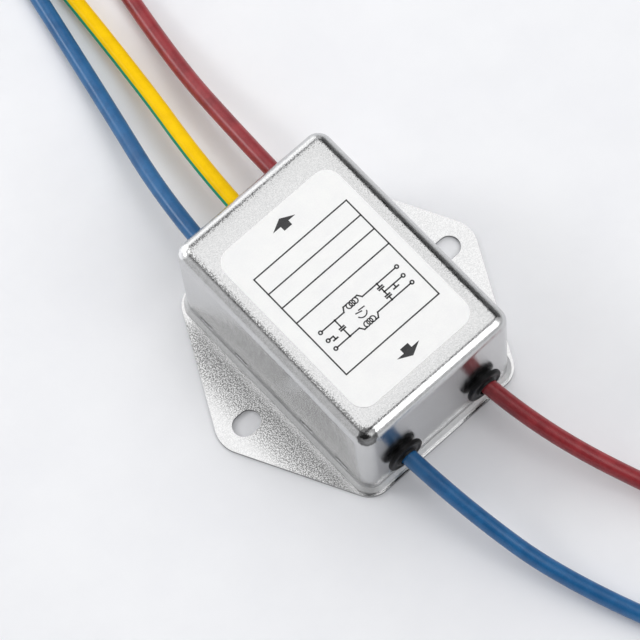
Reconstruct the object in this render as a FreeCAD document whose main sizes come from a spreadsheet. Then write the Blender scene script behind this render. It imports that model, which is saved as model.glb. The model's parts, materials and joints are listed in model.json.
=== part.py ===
import FreeCAD, Part
import Sketcher
import math
import os
from types import SimpleNamespace

# EMI line filter with flying leads
#
# A drawn steel can stands on a base plate with two mounting ears. The plate
# has a raised tray that plugs into the can, and grooves pressed into the can
# walls lock on it. Three leads leave the line side and two the load side,
# each through a bushing. Inside are the choke, the capacitors and the board.
#
# Frame: X runs across the can to the ears, Y along the leads with the line
# side at plus Y, Z up. The origin is on the underside, below the can centre.

DRIVING_SIZES = {
    # Drawn can
    "can_width": 39.0,
    "can_length": 55.8,
    "can_top": 30.5,
    "can_wall": 0.5,
    "can_corner_radius": 3.2,
    "can_edge_radius": 2.6,
    "foot_reach": 0.8,
    "foot_chamfer": 0.7,
    # Wall holes
    "wall_hole_radius": 3.0,
    "lead_pitch": 10.5,
    "lead_level": 11.0,
    # Pressed locking grooves
    "groove_nose_radius": 1.0,
    "groove_depth": 0.35,
    "groove_length": 3.6,
    "groove_backing": 0.4,
    "groove_level": 3.9,
    "inner_groove_place": 9.6,
    "outer_groove_place": 20.0,
    "recess_clearance": 0.1,
    # Base plate
    "sheet_thickness": 0.8,
    "plate_margin": 1.3,
    "plate_corner_radius": 5.0,
    "ear_shoulder": 16.1,
    "ear_hole_place": 27.0,
    "ear_tip_radius": 6.4,
    "slot_width": 4.8,
    "slot_length": 6.2,
    "tray_height": 4.2,
    "tray_gap": 0.1,
    "tray_edge_chamfer": 0.6,
    # Label film
    "label_width": 30.0,
    "label_length": 43.0,
    "label_corner_radius": 3.5,
    "label_thickness": 0.1,
    "label_shift": 1.1,
    # Bushings
    "flange_radius": 4.0,
    "flange_thickness": 1.8,
    "neck_clearance": 0.05,
    "lip_radius": 3.5,
    "lip_length": 1.2,
    "bore_clearance": 0.05,
    # Leads
    "lead_diameter": 3.5,
    "lead_entry": 8.75,
    "core_diameter": 1.9,
    "stripped_length": 8.0,
    # Circuit board and potting
    "potting_thickness": 1.0,
    "board_thickness": 1.2,
    "board_gap": 0.4,
    "board_corner_chamfer": 3.0,
    # Terminal posts and earth strap
    "post_width": 2.6,
    "post_depth": 2.0,
    "post_rise": 2.0,
    "earth_post_rise": 3.8,
    "strap_width": 3.0,
    "strap_thickness": 0.4,
    "strap_rise": 5.0,
    "strap_gap": 0.05,
    # Common mode choke
    "core_bore_share": 0.63,
    "core_height": 13.0,
    "winding_build": 1.6,
    "winding_clearance": 0.1,
    "winding_gap": 1.5,
    "divider_thickness": 1.2,
    "divider_clearance": 0.15,
    # Capacitors and bleed resistor
    "part_gap": 0.4,
    "box_capacitor_width": 17.5,
    "box_capacitor_depth": 6.0,
    "box_capacitor_height": 16.0,
    "box_capacitor_chamfer": 0.6,
    "earth_capacitor_width": 4.0,
    "earth_capacitor_height": 8.0,
    "resistor_length": 6.4,
    "resistor_width": 3.2,
    "resistor_thickness": 0.8,
    "resistor_edge": 3.0,
    # Insulating liner
    "liner_thickness": 0.3,
    "liner_gap": 0.05,
    "liner_end_gap": 0.5,
    "liner_foot": 9.5,
}

document = FreeCAD.newDocument("emi_line_filter")
sheet = document.addObject("Spreadsheet::Sheet", "sizes")
for row, (alias, value) in enumerate(DRIVING_SIZES.items(), 1):
    sheet.set("A%d" % row, alias)
    sheet.set("B%d" % row, str(value))
    sheet.setAlias("B%d" % row, alias)
document.recompute()


class Length:
    """A size together with the sheet expression that gives it."""

    def __init__(self, value, text):
        self.value = value
        self.text = text

    def __add__(self, other):
        return Length(self.value + value_of(other), "(%s + %s)" % (self.text, text_of(other)))

    def __radd__(self, other):
        return Length(value_of(other) + self.value, "(%s + %s)" % (text_of(other), self.text))

    def __sub__(self, other):
        return Length(self.value - value_of(other), "(%s - %s)" % (self.text, text_of(other)))

    def __rsub__(self, other):
        return Length(value_of(other) - self.value, "(%s - %s)" % (text_of(other), self.text))

    def __mul__(self, other):
        return Length(self.value * value_of(other), "(%s * %s)" % (self.text, text_of(other)))

    __rmul__ = __mul__

    def __truediv__(self, other):
        return Length(self.value / value_of(other), "(%s / %s)" % (self.text, text_of(other)))

    def __neg__(self):
        return Length(-self.value, "(0 - %s)" % self.text)


def value_of(size):
    return size.value if isinstance(size, Length) else float(size)


def text_of(size):
    return size.text if isinstance(size, Length) else repr(size)


def arc_sine(ratio):
    """The angle in plain degrees whose sine is a ratio of two sizes."""
    return Length(math.degrees(math.asin(ratio.value)), "(asin(%s) / 1 deg)" % ratio.text)


d = SimpleNamespace(**{alias: Length(float(sheet.get(alias)), "sizes." + alias) for alias in DRIVING_SIZES})

# Levels and half sizes that several pieces share
can_half_width = d.can_width / 2
can_half_length = d.can_length / 2
inner_half_width = can_half_width - d.can_wall
inner_half_length = can_half_length - d.can_wall
tray_top = d.sheet_thickness + d.tray_height
board_bottom = tray_top + d.potting_thickness
board_top = board_bottom + d.board_thickness
ceiling = d.can_top - d.can_wall
inner_corner = d.can_corner_radius - d.can_wall
groove_offset = can_half_width + d.groove_nose_radius - d.groove_depth
groove_places = [d.inner_groove_place, d.outer_groove_place, -d.inner_groove_place, -d.outer_groove_place]

# Places along the can, worked inwards from the leads: posts, box capacitor, choke
post_line = can_half_length - d.lead_entry - d.post_depth
box_place = post_line - d.part_gap - d.box_capacitor_depth / 2
choke_line_side = box_place - d.box_capacitor_depth / 2 - d.part_gap
choke_load_side = d.part_gap - post_line
choke_radius = (choke_line_side - choke_load_side) / 2
choke_place = (choke_line_side + choke_load_side) / 2

# Radii of the bushings
neck_radius = d.wall_hole_radius - d.neck_clearance
bore_radius = d.lead_diameter / 2 + d.bore_clearance
SMALL = 0.001


def bind(item, name, size):
    """Set a property and tie it to the sheet."""
    item.setExpression(name, text_of(size))


def move_to(item, x, y, z, rotation=FreeCAD.Rotation()):
    """Give a piece its place, with each coordinate tied to the sheet."""
    item.Placement = FreeCAD.Placement(FreeCAD.Vector(value_of(x), value_of(y), value_of(z)), rotation)
    bind(item, "Placement.Base.x", x)
    bind(item, "Placement.Base.y", y)
    bind(item, "Placement.Base.z", z)


def new_body(name):
    body = document.addObject("PartDesign::Body", name)
    body.Label = name
    return body


def new_sketch(body, name, plane, offset=0):
    """A sketch on an origin plane of its own body, moved along the plane's normal."""
    sketch = body.newObject("Sketcher::SketchObject", body.Name + "_" + name)
    for feature in body.Origin.OriginFeatures:
        if feature.Role == plane:
            sketch.AttachmentSupport = [(feature, "")]
    sketch.MapMode = "FlatFace"
    bind(sketch, "AttachmentOffset.Base.z", offset)
    return sketch


def add_dimension(sketch, kind, elements, size):
    index = sketch.addConstraint(Sketcher.Constraint(kind, *elements, value_of(size)))
    bind(sketch, "Constraints[%d]" % index, size)


def pin_point(sketch, element, point, x, y):
    """Fix a point of a sketch at x and y from the sketch's own origin."""
    for kind, size, axis in (("DistanceX", x, -2), ("DistanceY", y, -1)):
        if abs(value_of(size)) < SMALL:
            sketch.addConstraint(Sketcher.Constraint("PointOnObject", element, point, axis))
        elif value_of(size) > 0:
            add_dimension(sketch, kind, (-1, 1, element, point), size)
        else:
            add_dimension(sketch, kind, (element, point, -1, 1), -size)


def draw_circle(sketch, x, y, radius):
    centre = FreeCAD.Vector(value_of(x), value_of(y), 0)
    element = sketch.addGeometry(Part.Circle(centre, FreeCAD.Vector(0, 0, 1), value_of(radius)), False)
    pin_point(sketch, element, 3, x, y)
    add_dimension(sketch, "Radius", (element,), radius)


def draw_polygon(sketch, points):
    corners = [FreeCAD.Vector(value_of(x), value_of(y), 0) for x, y in points]
    first = sketch.GeometryCount
    count = len(corners)
    for step in range(count):
        sketch.addGeometry(Part.LineSegment(corners[step], corners[(step + 1) % count]), False)
    for step in range(count):
        following = first + (step + 1) % count
        sketch.addConstraint(Sketcher.Constraint("Coincident", first + step, 2, following, 1))
    for step, (x, y) in enumerate(points):
        pin_point(sketch, first + step, 1, x, y)


def draw_band(sketch, circles):
    """A closed outline stretched round circles: arcs joined by tangent lines, anticlockwise."""
    count = len(circles)
    angles = []
    for step in range(count):
        x1, y1, r1 = [value_of(size) for size in circles[step]]
        x2, y2, r2 = [value_of(size) for size in circles[(step + 1) % count]]
        gap = math.hypot(x2 - x1, y2 - y1)
        angles.append(math.atan2(y2 - y1, x2 - x1) - math.acos((r1 - r2) / gap))
    first = sketch.GeometryCount
    ends = []
    for step in range(count):
        x, y, radius = [value_of(size) for size in circles[step]]
        circle = Part.Circle(FreeCAD.Vector(x, y, 0), FreeCAD.Vector(0, 0, 1), radius)
        arc = Part.ArcOfCircle(circle, angles[step - 1], angles[step])
        sketch.addGeometry(arc, False)
        ends.append((arc.StartPoint, arc.EndPoint))
    for step in range(count):
        sketch.addGeometry(Part.LineSegment(ends[step][1], ends[(step + 1) % count][0]), False)
    for step in range(count):
        line = first + count + step
        sketch.addConstraint(Sketcher.Constraint("Tangent", first + step, 2, line, 1))
        sketch.addConstraint(Sketcher.Constraint("Tangent", line, 2, first + (step + 1) % count, 1))
    for step, (x, y, radius) in enumerate(circles):
        pin_point(sketch, first + step, 3, x, y)
        add_dimension(sketch, "Radius", (first + step,), radius)


def corner_circles(half_x, half_y, radius):
    """The four corner circles of a rounded rectangle, anticlockwise."""
    x = half_x - radius
    y = half_y - radius
    return [(x, -y, radius), (x, y, radius), (-x, y, radius), (-x, -y, radius)]


def add_feature(body, kind, name, sketch):
    feature = body.newObject("PartDesign::" + kind, body.Name + "_" + name)
    feature.Profile = sketch
    return feature


def finish_feature(body, feature):
    body.Tip = feature
    document.recompute()
    if "Invalid" in feature.State or feature.Shape.isNull():
        raise RuntimeError("%s did not compute: %s" % (feature.Name, feature.getStatusString()))
    return feature


def pad(body, name, sketch, length, reverse=False):
    feature = add_feature(body, "Pad", name, sketch)
    feature.Reversed = reverse
    bind(feature, "Length", length)
    return finish_feature(body, feature)


def pocket(body, name, sketch, length, reverse=False):
    before = body.Tip.Shape.Volume
    feature = add_feature(body, "Pocket", name, sketch)
    feature.Reversed = reverse
    bind(feature, "Length", length)
    finish_feature(body, feature)
    if feature.Shape.Volume > before - SMALL:
        raise RuntimeError(feature.Name + " cuts nothing")
    return feature


def revolve(body, name, sketch, axis, angle=360.0):
    feature = add_feature(body, "Revolution", name, sketch)
    feature.ReferenceAxis = (sketch, [axis])
    bind(feature, "Angle", angle)
    return finish_feature(body, feature)


def edges_at(body, level, half_x, half_y):
    """Names of the edges that lie flat at a level and stay within a rectangle."""
    names = []
    for number, edge in enumerate(body.Tip.Shape.Edges, 1):
        box = edge.BoundBox
        flat = abs(box.ZMin - value_of(level)) < SMALL and abs(box.ZMax - value_of(level)) < SMALL
        reach_x = max(abs(box.XMin), abs(box.XMax))
        reach_y = max(abs(box.YMin), abs(box.YMax))
        if flat and reach_x < value_of(half_x) + SMALL and reach_y < value_of(half_y) + SMALL:
            names.append("Edge%d" % number)
    return names


def round_edges(body, name, edges, radius):
    base = body.Tip
    feature = body.newObject("PartDesign::Fillet", body.Name + "_" + name)
    feature.Base = (base, edges)
    bind(feature, "Radius", radius)
    return finish_feature(body, feature)


def chamfer_edges(body, name, edges, size):
    base = body.Tip
    feature = body.newObject("PartDesign::Chamfer", body.Name + "_" + name)
    feature.Base = (base, edges)
    bind(feature, "Size", size)
    return finish_feature(body, feature)


def cut_side_grooves(body, radius, length):
    """Cut the same round nosed groove into both long sides at each locking place."""
    for number, place in enumerate(groove_places, 1):
        sketch = new_sketch(body, "groove_%d" % number, "XZ_Plane", length / 2 - place)
        draw_circle(sketch, groove_offset, d.groove_level, radius)
        draw_circle(sketch, -groove_offset, d.groove_level, radius)
        pocket(body, "groove_cut_%d" % number, sketch, length)


def add_groove_backing(body):
    """The metal that each groove pushes inwards, a round backed rib on the inner face."""
    radius = d.groove_nose_radius + d.groove_backing
    chord = can_half_width - d.can_wall / 2
    for number, place in enumerate(groove_places, 1):
        sketch = new_sketch(body, "rib_%d" % number, "XZ_Plane", d.groove_length / 2 - place)
        for side in (1, -1):
            half_angle = math.acos(value_of(groove_offset - chord) / value_of(radius))
            middle = math.pi if side > 0 else 0.0
            centre = FreeCAD.Vector(side * groove_offset.value, d.groove_level.value, 0)
            circle = Part.Circle(centre, FreeCAD.Vector(0, 0, 1), radius.value)
            arc = Part.ArcOfCircle(circle, middle - half_angle, middle + half_angle)
            element = sketch.addGeometry(arc, False)
            line = sketch.addGeometry(Part.LineSegment(arc.EndPoint, arc.StartPoint), False)
            sketch.addConstraint(Sketcher.Constraint("Coincident", element, 2, line, 1))
            sketch.addConstraint(Sketcher.Constraint("Coincident", line, 2, element, 1))
            pin_point(sketch, element, 3, side * groove_offset, d.groove_level)
            add_dimension(sketch, "Radius", (element,), radius)
            sketch.addConstraint(Sketcher.Constraint("Vertical", line))
            ends = (-1, 1, line, 1) if side > 0 else (line, 1, -1, 1)
            add_dimension(sketch, "DistanceX", ends, chord)
        pad(body, "rib_pad_%d" % number, sketch, d.groove_length, reverse=True)


def make_can():
    """Drawn can with a turned out foot, rounded top edge and five lead holes."""
    body = new_body("can_shell")
    foot_top = d.sheet_thickness + d.can_wall
    sketch = new_sketch(body, "outline", "XY_Plane", d.sheet_thickness)
    draw_band(sketch, corner_circles(can_half_width, can_half_length, d.can_corner_radius))
    pad(body, "block", sketch, d.can_top - d.sheet_thickness)
    sketch = new_sketch(body, "foot", "XY_Plane", d.sheet_thickness)
    foot = corner_circles(can_half_width + d.foot_reach, can_half_length + d.foot_reach,
                          d.can_corner_radius + d.foot_reach)
    draw_band(sketch, foot)
    pad(body, "foot_pad", sketch, d.can_wall)
    sketch = new_sketch(body, "hollow", "XY_Plane", d.sheet_thickness)
    draw_band(sketch, corner_circles(inner_half_width, inner_half_length, inner_corner))
    pocket(body, "hollow_cut", sketch, ceiling - d.sheet_thickness, reverse=True)
    chamfer_edges(body, "ceiling_chamfer", edges_at(body, ceiling, inner_half_width, inner_half_length),
                  d.can_edge_radius - d.can_wall)
    rim = edges_at(body, d.can_top, can_half_width, can_half_length)
    round_edges(body, "top_round", rim, d.can_edge_radius)
    foot_edges = edges_at(body, foot_top, can_half_width, can_half_length)
    chamfer_edges(body, "foot_chamfer", foot_edges, d.foot_chamfer)
    add_groove_backing(body)
    cut_side_grooves(body, d.groove_nose_radius, d.groove_length)
    sketch = new_sketch(body, "load_holes", "XZ_Plane")
    for side in (-1, 1):
        draw_circle(sketch, side * d.lead_pitch, d.lead_level, d.wall_hole_radius)
    pocket(body, "load_holes_cut", sketch, d.can_length, reverse=True)
    sketch = new_sketch(body, "line_holes", "XZ_Plane")
    for side in (-1, 0, 1):
        draw_circle(sketch, side * d.lead_pitch, d.lead_level, d.wall_hole_radius)
    pocket(body, "line_holes_cut", sketch, d.can_length)
    return body


def make_base_plate():
    """Base plate: one pressed sheet with two slotted ears and a raised tray."""
    body = new_body("base_plate")
    shoulder_y = can_half_length + d.plate_margin - d.plate_corner_radius
    corner = d.plate_corner_radius
    tip = (d.ear_hole_place, 0, d.ear_tip_radius)
    far_tip = (-d.ear_hole_place, 0, d.ear_tip_radius)
    shoulder = d.ear_shoulder
    sketch = new_sketch(body, "outline", "XY_Plane")
    draw_band(sketch, [(shoulder, -shoulder_y, corner), tip, (shoulder, shoulder_y, corner),
                       (-shoulder, shoulder_y, corner), far_tip, (-shoulder, -shoulder_y, corner)])
    slot_radius = d.slot_width / 2
    slot_run = (d.slot_length - d.slot_width) / 2
    for place in (d.ear_hole_place, -d.ear_hole_place):
        draw_band(sketch, [(place + slot_run, 0, slot_radius), (place - slot_run, 0, slot_radius)])
    pad(body, "sheet", sketch, d.sheet_thickness)
    tray_half_width = inner_half_width - d.tray_gap
    tray_half_length = inner_half_length - d.tray_gap
    tray_corner = inner_corner - d.tray_gap
    sketch = new_sketch(body, "tray", "XY_Plane", d.sheet_thickness)
    draw_band(sketch, corner_circles(tray_half_width, tray_half_length, tray_corner))
    pad(body, "tray_pad", sketch, d.tray_height)
    rim = edges_at(body, tray_top, tray_half_width, tray_half_length)
    chamfer_edges(body, "tray_chamfer", rim, d.tray_edge_chamfer)
    sketch = new_sketch(body, "underside", "XY_Plane")
    wall = d.sheet_thickness
    draw_band(sketch, corner_circles(tray_half_width - wall, tray_half_length - wall, tray_corner - wall))
    pocket(body, "underside_cut", sketch, d.tray_height, reverse=True)
    cut_side_grooves(body, d.groove_nose_radius + d.groove_backing + d.recess_clearance,
                     d.groove_length + 2 * d.recess_clearance)
    return body


def make_label():
    """Thin label film on the top of the can."""
    body = new_body("label_film")
    sketch = new_sketch(body, "outline", "XY_Plane", d.can_top)
    draw_band(sketch, corner_circles(d.label_width / 2, d.label_length / 2, d.label_corner_radius))
    pad(body, "film", sketch, d.label_thickness)
    move_to(body, 0, -d.label_shift, 0)
    return body


def make_bushing(name, x, side):
    """Snap in bushing: flange outside, neck through the wall and a lip behind it."""
    body = new_body(name)
    catch = d.can_wall + d.neck_clearance
    sketch = new_sketch(body, "profile", "XY_Plane")
    draw_polygon(sketch, [
        (bore_radius, -(catch + d.lip_length)),
        (d.lip_radius, -(catch + d.lip_length)),
        (d.lip_radius, -catch),
        (neck_radius, -catch),
        (neck_radius, 0),
        (d.flange_radius, 0),
        (d.flange_radius, d.flange_thickness),
        (bore_radius, d.flange_thickness),
    ])
    revolve(body, "turned", sketch, "V_Axis")
    turn = FreeCAD.Rotation(FreeCAD.Vector(0, 0, 1), 0 if side > 0 else 180)
    move_to(body, x, side * can_half_length, d.lead_level, turn)
    return body


def lead_path(points):
    """Straight runs joined by tangent arcs, each as large as its two runs allow."""
    share = 0.45
    edges = []
    radii = []
    start = points[0]
    for before, corner, after in zip(points, points[1:], points[2:]):
        towards = (before - corner)
        away = (after - corner)
        cut = share * min(towards.Length, away.Length)
        towards.normalize()
        away.normalize()
        turn = math.pi - towards.getAngle(away)
        radius = cut / math.tan(turn / 2)
        middle = (towards + away).normalize()
        arc_start = corner + towards * cut
        arc_end = corner + away * cut
        centre = corner + middle * math.hypot(cut, radius)
        arc_middle = centre - middle * radius
        edges.append(Part.LineSegment(start, arc_start).toShape())
        edges.append(Part.Arc(arc_start, arc_middle, arc_end).toShape())
        radii.append(radius)
        start = arc_end
    edges.append(Part.LineSegment(start, points[-1]).toShape())
    return Part.Wire(edges), radii


def make_lead(name, x, side, route):
    """One flying lead: its insulation as a tube along a path of runs and arcs."""
    inner_end = side * (can_half_length - d.lead_entry)
    points = [FreeCAD.Vector(value_of(x), value_of(inner_end), d.lead_level.value)]
    points += [FreeCAD.Vector(*place) for place in route]
    wire, radii = lead_path(points)
    spine = document.addObject("Part::Feature", name + "_spine")
    spine.Shape = wire
    section = document.addObject("Part::Circle", name + "_section")
    bind(section, "Radius", d.lead_diameter / 2)
    across = FreeCAD.Rotation(FreeCAD.Vector(1, 0, 0), 90)
    move_to(section, x, inner_end, d.lead_level, across)
    lead = document.addObject("Part::Sweep", name)
    lead.Label = name
    lead.Sections = [section]
    lead.Spine = (spine, ["Edge%d" % (number + 1) for number in range(len(wire.Edges))])
    lead.Solid = True
    lead.Frenet = False
    document.recompute()
    expected = wire.Length * math.pi * (d.lead_diameter.value / 2) ** 2
    print("%s length %.1f tightest radius %.1f volume share %.4f"
          % (name, wire.Length, min(radii), lead.Shape.Volume / expected))
    return lead, points


def make_strand_end(name, place, direction):
    """A bare conductor end: nineteen strands laid close have a six sided outline."""
    end = document.addObject("Part::Prism", name)
    end.Label = name
    end.Polygon = 6
    bind(end, "Circumradius", d.core_diameter / 2)
    bind(end, "Height", d.stripped_length)
    end.Placement = FreeCAD.Placement(place, FreeCAD.Rotation(FreeCAD.Vector(0, 0, 1), direction))
    return end


def make_box(name, size_x, size_y, size_z, x, y, z):
    """A plain block with its middle at x and y and its foot at z."""
    box = document.addObject("Part::Box", name)
    box.Label = name
    bind(box, "Length", size_x)
    bind(box, "Width", size_y)
    bind(box, "Height", size_z)
    move_to(box, x - size_x / 2, y - size_y / 2, z)
    return box


# The leads: the side of the can, the place across it and the route outside
FLOOR = DRIVING_SIZES["lead_diameter"] / 2
LEVEL = DRIVING_SIZES["lead_level"]
LEADS = {
    "line_neutral": (1, -1, [(-10.5, 38.4, LEVEL), (-1.6, 74.0, FLOOR), (5.2, 108.0, FLOOR)]),
    "earth": (1, 0, [(0.0, 38.4, LEVEL), (6.7, 74.0, FLOOR), (9.6, 109.0, FLOOR)]),
    "line_live": (1, 1, [(10.5, 38.4, LEVEL), (14.2, 74.0, FLOOR), (21.6, 109.0, FLOOR)]),
    "load_neutral": (-1, -1, [(-10.5, -38.4, LEVEL), (-2.2, -74.0, FLOOR), (14.0, -107.0, FLOOR)]),
    "load_live": (-1, 1, [(10.5, -38.4, LEVEL), (25.4, -74.0, FLOOR), (39.5, -107.0, FLOOR)]),
}


def make_leads():
    """Each lead with its bushing, its terminal post on the board and its stripped outer end."""
    pieces = []
    for title, (side, across, route) in LEADS.items():
        x = across * d.lead_pitch
        pieces.append(make_bushing(title + "_bushing", x, side))
        lead, points = make_lead(title + "_lead", x, side, route)
        pieces.append(lead)
        onwards = (points[-1] - points[-2]).normalize()
        pieces.append(make_strand_end(title + "_stripped_end", points[-1], onwards))
        rise = d.post_rise if across else d.earth_post_rise
        height = d.lead_level + rise - board_top
        post_y = side * (post_line + d.post_depth / 2)
        pieces.append(make_box(title + "_post", d.post_width, d.post_depth, height, x, post_y, board_top))
    return pieces


def make_earth_strap():
    """Strap from the earth post over the lead to the inner face of the can."""
    body = new_body("earth_strap")
    foot = d.lead_level + d.earth_post_rise
    wall_side = inner_half_length - d.strap_gap
    sketch = new_sketch(body, "profile", "YZ_Plane", -d.strap_width / 2)
    draw_polygon(sketch, [
        (post_line, foot),
        (wall_side, foot),
        (wall_side, foot + d.strap_rise),
        (wall_side - d.strap_thickness, foot + d.strap_rise),
        (wall_side - d.strap_thickness, foot + d.strap_thickness),
        (post_line, foot + d.strap_thickness),
    ])
    pad(body, "strip", sketch, d.strap_width)
    return body


def draw_board_outline(sketch):
    """The board's outline, cut back at its corners to clear the can's round corners."""
    x = inner_half_width - d.board_gap
    y = inner_half_length - d.board_gap
    cut = d.board_corner_chamfer
    draw_polygon(sketch, [(x, -y + cut), (x, y - cut), (x - cut, y), (-x + cut, y),
                          (-x, y - cut), (-x, -y + cut), (-x + cut, -y), (x - cut, -y)])


def make_board():
    """Circuit board that carries the choke, the capacitors and the terminal posts."""
    body = new_body("circuit_board")
    sketch = new_sketch(body, "outline", "XY_Plane", board_bottom)
    draw_board_outline(sketch)
    pad(body, "panel", sketch, d.board_thickness)
    return body


def make_potting():
    """Potting compound between the tray and the solder side of the board."""
    body = new_body("potting_compound")
    sketch = new_sketch(body, "outline", "XY_Plane", tray_top)
    draw_board_outline(sketch)
    pad(body, "layer", sketch, d.potting_thickness)
    return body


def make_choke():
    """Ring core with two windings on opposite sides and a divider in its bore."""
    middle = board_top + d.winding_clearance + d.winding_build + d.core_height / 2
    core_outer = choke_radius - d.winding_build - d.winding_clearance
    core_inner = core_outer * d.core_bore_share
    outer = document.addObject("Part::Cylinder", "core_blank")
    bind(outer, "Radius", core_outer)
    bind(outer, "Height", d.core_height)
    inner = document.addObject("Part::Cylinder", "core_bore")
    bind(inner, "Radius", core_inner)
    bind(inner, "Height", d.core_height)
    core = document.addObject("Part::Cut", "choke_core")
    core.Label = "choke_core"
    core.Base = outer
    core.Tool = inner
    move_to(core, 0, choke_place, middle - d.core_height / 2)
    pieces = [core]
    half_height = d.core_height / 2 + d.winding_clearance
    bore = core_inner - d.winding_clearance
    rim = core_outer + d.winding_clearance
    clear_of_middle = d.divider_thickness / 2 + d.winding_gap
    winding_angle = 180 - 2 * arc_sine(clear_of_middle / (bore - d.winding_build))
    for name, heading in (("choke_winding_live", 0.0), ("choke_winding_neutral", 180.0)):
        body = new_body(name)
        sketch = new_sketch(body, "section", "XZ_Plane")
        build = d.winding_build
        draw_polygon(sketch, [(bore - build, -half_height - build), (rim + build, -half_height - build),
                              (rim + build, half_height + build), (bore - build, half_height + build)])
        draw_polygon(sketch, [(bore, -half_height), (rim, -half_height),
                              (rim, half_height), (bore, half_height)])
        revolve(body, "wound", sketch, "V_Axis", winding_angle)
        turn = FreeCAD.Rotation(FreeCAD.Vector(0, 0, 1), heading - winding_angle.value / 2)
        move_to(body, 0, choke_place, middle, turn)
        pieces.append(body)
    width = 2 * (core_inner - d.divider_clearance)
    height = 2 * d.winding_build + d.core_height
    pieces.append(make_box("choke_divider", d.divider_thickness, width, height, 0, choke_place, board_top))
    return pieces


def make_box_capacitor():
    """Line to line capacitor in a moulded box."""
    body = new_body("x_capacitor")
    half_x = d.box_capacitor_width / 2
    half_y = d.box_capacitor_depth / 2
    top = board_top + d.box_capacitor_height
    sketch = new_sketch(body, "outline", "XY_Plane", board_top)
    draw_polygon(sketch, [(-half_x, box_place - half_y), (half_x, box_place - half_y),
                          (half_x, box_place + half_y), (-half_x, box_place + half_y)])
    pad(body, "case", sketch, d.box_capacitor_height)
    rim = edges_at(body, top, half_x, box_place + half_y)
    chamfer_edges(body, "case_chamfer", rim, d.box_capacitor_chamfer)
    return body


def make_liner():
    """Insulating film folded down both long walls from the ceiling of the can."""
    body = new_body("insulating_liner")
    outer = inner_half_width - d.liner_gap
    top = ceiling - d.liner_gap
    inner = outer - d.liner_thickness
    under = top - d.liner_thickness
    fold = d.can_edge_radius - d.can_wall
    length = 2 * (inner_half_length - inner_corner - d.liner_end_gap)
    sketch = new_sketch(body, "profile", "XZ_Plane", -length / 2)
    draw_polygon(sketch, [
        (outer - d.liner_thickness, d.liner_foot),
        (outer, d.liner_foot),
        (outer, top - fold),
        (outer - fold, top),
        (-outer + fold, top),
        (-outer, top - fold),
        (-outer, d.liner_foot),
        (-inner, d.liner_foot),
        (-inner, under - fold),
        (-inner + fold, under),
        (inner - fold, under),
        (inner, under - fold),
    ])
    pad(body, "film", sketch, length)
    return body


pieces = [make_can(), make_base_plate(), make_label()]
pieces += make_leads()
pieces += [make_earth_strap(), make_board(), make_potting()]
pieces += make_choke()
pieces.append(make_box_capacitor())
for name, side in (("y_capacitor_neutral", -1), ("y_capacitor_live", 1)):
    away = d.box_capacitor_width / 2 + d.part_gap + d.earth_capacitor_width / 2
    pieces.append(make_box(name, d.earth_capacitor_width, d.box_capacitor_depth, d.earth_capacitor_height,
                           side * away, box_place, board_top))
resistor_place = d.board_gap + d.resistor_edge + d.resistor_width / 2 - inner_half_length
pieces.append(make_box("bleed_resistor", d.resistor_length, d.resistor_width, d.resistor_thickness,
                       0, resistor_place, board_top))
pieces.append(make_liner())
document.recompute()

# Nothing is written unless every object and every shape is sound
for item in document.Objects:
    if "Invalid" in item.State or "Error" in item.State:
        raise RuntimeError("%s did not compute: %s" % (item.Name, item.State))
for piece in pieces:
    if piece.Shape.isNull() or not piece.Shape.isValid():
        raise RuntimeError("%s has no sound shape" % piece.Label)

os.makedirs("parts", exist_ok=True)
for piece in pieces:
    piece.Shape.exportStep("parts/%s.step" % piece.Label)
print("%d pieces written" % len(pieces))
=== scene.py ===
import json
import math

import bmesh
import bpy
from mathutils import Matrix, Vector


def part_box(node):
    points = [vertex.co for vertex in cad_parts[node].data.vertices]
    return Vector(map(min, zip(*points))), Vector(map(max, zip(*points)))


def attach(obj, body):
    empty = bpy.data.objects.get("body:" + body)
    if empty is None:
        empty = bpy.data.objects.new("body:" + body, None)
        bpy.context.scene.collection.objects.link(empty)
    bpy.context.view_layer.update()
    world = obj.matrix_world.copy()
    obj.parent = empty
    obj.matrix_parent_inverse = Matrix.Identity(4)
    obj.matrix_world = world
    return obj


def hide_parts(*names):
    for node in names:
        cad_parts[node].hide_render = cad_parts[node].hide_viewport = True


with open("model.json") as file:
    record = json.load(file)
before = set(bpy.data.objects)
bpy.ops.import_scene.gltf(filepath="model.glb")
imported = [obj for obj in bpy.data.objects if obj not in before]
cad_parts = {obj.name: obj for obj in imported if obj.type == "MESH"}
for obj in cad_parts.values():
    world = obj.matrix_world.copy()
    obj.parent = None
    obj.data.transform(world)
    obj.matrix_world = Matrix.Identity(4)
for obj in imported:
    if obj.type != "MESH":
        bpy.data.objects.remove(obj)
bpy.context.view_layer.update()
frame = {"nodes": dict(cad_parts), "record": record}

# %% [markdown]
# A line filter is a small drawn steel can on a steel plate. The plate's two ears
# take a screw each, and five insulated leads leave the can through plastic bushings.
# It could be modelled here from nothing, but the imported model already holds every
# rigid piece at its real size. So this lesson only dresses it: it smooths the
# pressed sheet, lays the leads as flexible curves, prints the label and builds the
# finishes. Everything is in metres, with Z up, and the sizes that later cells need
# are measured on the model first.


nodes = frame["nodes"]
scene = bpy.context.scene
MM = 0.001
FOOT_REACH = 0.0008
can_low, can_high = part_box("can_shell")
label_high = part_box("label_film")[1]
half_width = can_high.x - FOOT_REACH
half_length = can_high.y - FOOT_REACH
print("can", [round(value / MM, 1) for value in can_high - can_low], "mm")

# %% [markdown]
# The camera comes first, because it says which part of each lead is seen. The
# photograph was taken with a long lens from high above the front left corner, so
# the edges of the can hardly converge. A camera could be aimed with a constraint,
# but a heading round the object, a height above the floor and a small roll about
# the camera's own axis say the same in three angles that can be changed one by one.

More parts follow.
